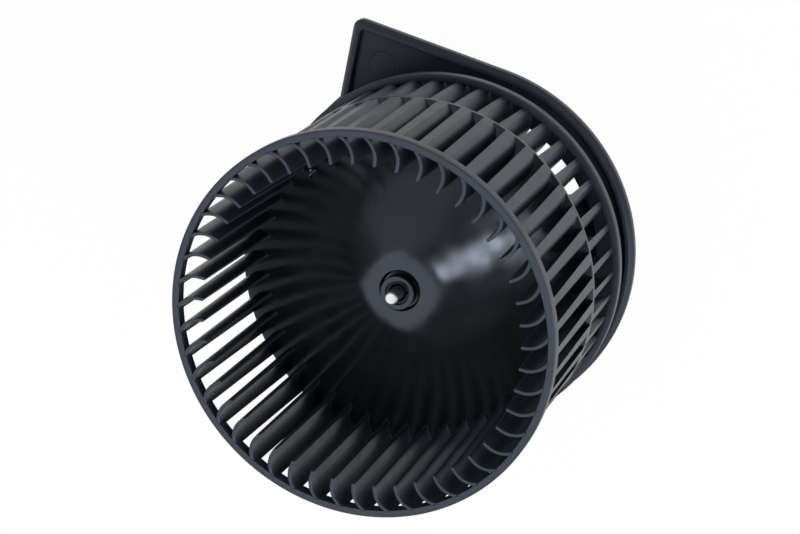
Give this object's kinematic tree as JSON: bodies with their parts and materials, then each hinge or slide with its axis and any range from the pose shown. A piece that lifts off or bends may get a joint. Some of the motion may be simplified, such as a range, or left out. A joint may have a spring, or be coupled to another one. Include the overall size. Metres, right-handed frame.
{
  "type": "blower motor",
  "caption": "Squirrel-cage fan wheel on a small brushed motor held in a round moulded flange with a corner tongue and open rear inlet.",
  "frame": {"origin": "shaft axis at the rear seat plane of the mounting flange", "axes": "+Z along the shaft towards the open end of the wheel, +Y towards the flange's tongue"},
  "size_m": [0.1488, 0.1664, 0.145],
  "materials": {
    "moulded_black": "fine moulded texture",
    "wheel_black": "semi-gloss moulded",
    "can_steel": "zinc plated, drawn",
    "shaft_steel": "ground",
    "spring_steel": "blued",
    "ferrite": "ground ceramic",
    "core_steel": "stamped laminations",
    "copper": "enamelled and bare copper",
    "brass": "folded sheet",
    "bronze": "sintered, oiled",
    "felt": "oiled felt",
    "rubber": "moulded",
    "card_plastic": "moulded phenolic",
    "insulator": "moulded nylon",
    "carbon": "pressed carbon"
  },
  "bodies": {
    "housing": {"mounting_flange": "moulded_black", "motor_can": "can_steel", "field_magnets": "ferrite", "magnet_clips": "spring_steel", "front_bearing": "bronze", "front_oil_felt": "felt", "front_bearing_retainer": "spring_steel", "end_bracket": "can_steel", "rear_bearing": "bronze", "rear_oil_felt": "felt", "rear_bearing_retainer": "spring_steel", "brush_card": "card_plastic", "brush_boxes": "brass", "brushes": "carbon", "brush_springs": "spring_steel", "chokes": "copper", "terminals": "brass", "rear_cap": "moulded_black", "cap_screws": "shaft_steel", "front_damper": "rubber", "rear_damper": "rubber"},
    "rotor": {"fan_wheel": "wheel_black", "motor_shaft": "shaft_steel", "hub_clip": "spring_steel", "thrust_washers": "insulator", "armature_core": "core_steel", "armature_insulators": "insulator", "armature_winding": "copper", "commutator_hub": "card_plastic", "commutator_bars": "copper"}
  },
  "joints": [
    {"name": "fan_spin", "type": "hinge", "parent": "housing", "child": "rotor", "pos_m": [0, 0, 0.04], "axis": [0, 0, 1], "continuous": true}
  ]
}
